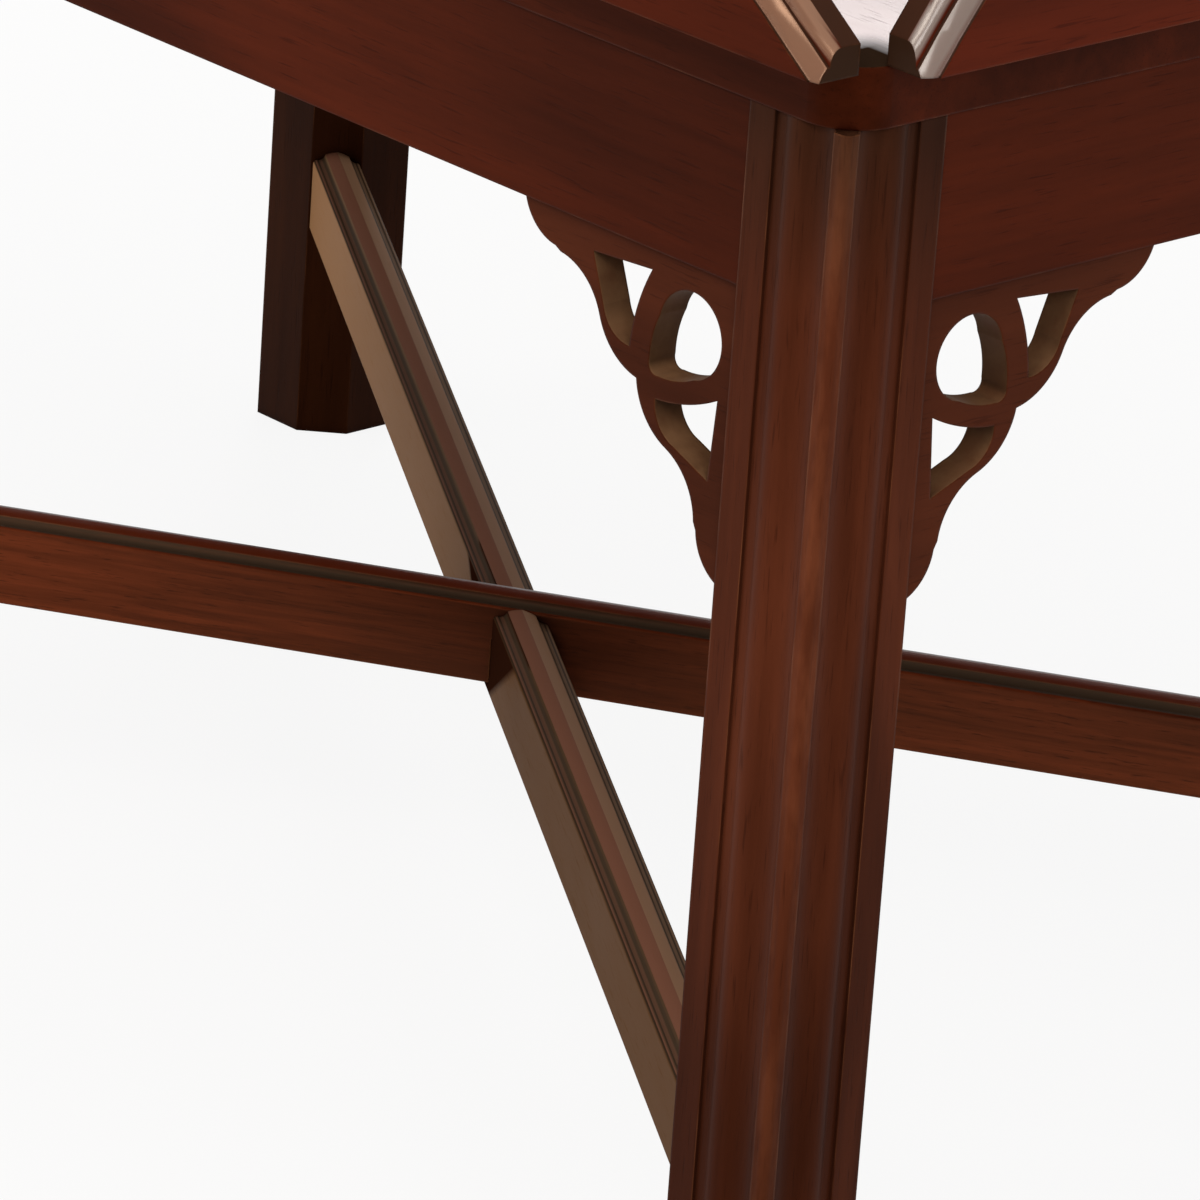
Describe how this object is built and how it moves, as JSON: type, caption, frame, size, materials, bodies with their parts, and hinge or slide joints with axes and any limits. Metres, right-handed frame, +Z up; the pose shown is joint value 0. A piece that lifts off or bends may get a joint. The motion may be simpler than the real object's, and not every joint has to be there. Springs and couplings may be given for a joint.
{
  "type": "butlers tray table",
  "caption": "Mahogany butlers tray table: a lift-off tray with hinged rounded flaps and hand holes, on a stand with moulded square legs, pierced brackets and crossed stretchers.",
  "frame": {"origin": "centre of the footprint, on the floor", "axes": "+X along the long side, +Y towards the back, +Z up"},
  "size_m": [0.882, 0.604, 0.6229],
  "materials": {
    "mahogany": "semi-gloss polish",
    "secondary_wood": "unpolished",
    "brass": "aged satin",
    "screw_steel": "dull"
  },
  "bodies": {
    "stand": {"leg_front_left": "mahogany", "leg_front_right": "mahogany", "leg_back_right": "mahogany", "leg_back_left": "mahogany", "apron_front": "mahogany", "apron_right": "mahogany", "apron_back": "mahogany", "apron_left": "mahogany", "bracket_front_left": "mahogany", "bracket_front_right": "mahogany", "bracket_back_left": "mahogany", "bracket_back_right": "mahogany", "bracket_left_front": "mahogany", "bracket_left_back": "mahogany", "bracket_right_front": "mahogany", "bracket_right_back": "mahogany", "stretcher_upper": "mahogany", "stretcher_lower": "mahogany", "glue_block_front_left": "secondary_wood", "glue_block_front_right": "secondary_wood", "glue_block_back_right": "secondary_wood", "glue_block_back_left": "secondary_wood"},
    "tray": {"tray_panel": "mahogany", "batten_left": "secondary_wood", "batten_right": "secondary_wood", "batten_screws": "screw_steel", "hinge_base_leaves_front": "brass", "hinge_pins_front": "brass", "hinge_base_screws_front": "brass", "hinge_base_leaves_right": "brass", "hinge_pins_right": "brass", "hinge_base_screws_right": "brass", "hinge_base_leaves_back": "brass", "hinge_pins_back": "brass", "hinge_base_screws_back": "brass", "hinge_base_leaves_left": "brass", "hinge_pins_left": "brass", "hinge_base_screws_left": "brass"},
    "flap_front": {"flap_front": "mahogany", "hinge_flap_leaves_front": "brass", "hinge_flap_screws_front": "brass"},
    "flap_right": {"flap_right": "mahogany", "hinge_flap_leaves_right": "brass", "hinge_flap_screws_right": "brass"},
    "flap_back": {"flap_back": "mahogany", "hinge_flap_leaves_back": "brass", "hinge_flap_screws_back": "brass"},
    "flap_left": {"flap_left": "mahogany", "hinge_flap_leaves_left": "brass", "hinge_flap_screws_left": "brass"}
  },
  "joints": [
    {"name": "tray_lift", "type": "slide", "parent": "stand", "child": "tray", "axis": [0, 0, 1], "range_m": [0, 0.2]},
    {"name": "flap_front_fold", "type": "hinge", "parent": "tray", "child": "flap_front", "pos_m": [0, -0.286, 0.4725], "axis": [1, 0, 0], "range_deg": [0, 90]},
    {"name": "flap_right_fold", "type": "hinge", "parent": "tray", "child": "flap_right", "pos_m": [0.425, 0, 0.4725], "axis": [0, 1, 0], "range_deg": [0, 90]},
    {"name": "flap_back_fold", "type": "hinge", "parent": "tray", "child": "flap_back", "pos_m": [0, 0.286, 0.4725], "axis": [-1, 0, 0], "range_deg": [0, 90]},
    {"name": "flap_left_fold", "type": "hinge", "parent": "tray", "child": "flap_left", "pos_m": [-0.425, 0, 0.4725], "axis": [0, -1, 0], "range_deg": [0, 90]}
  ]
}
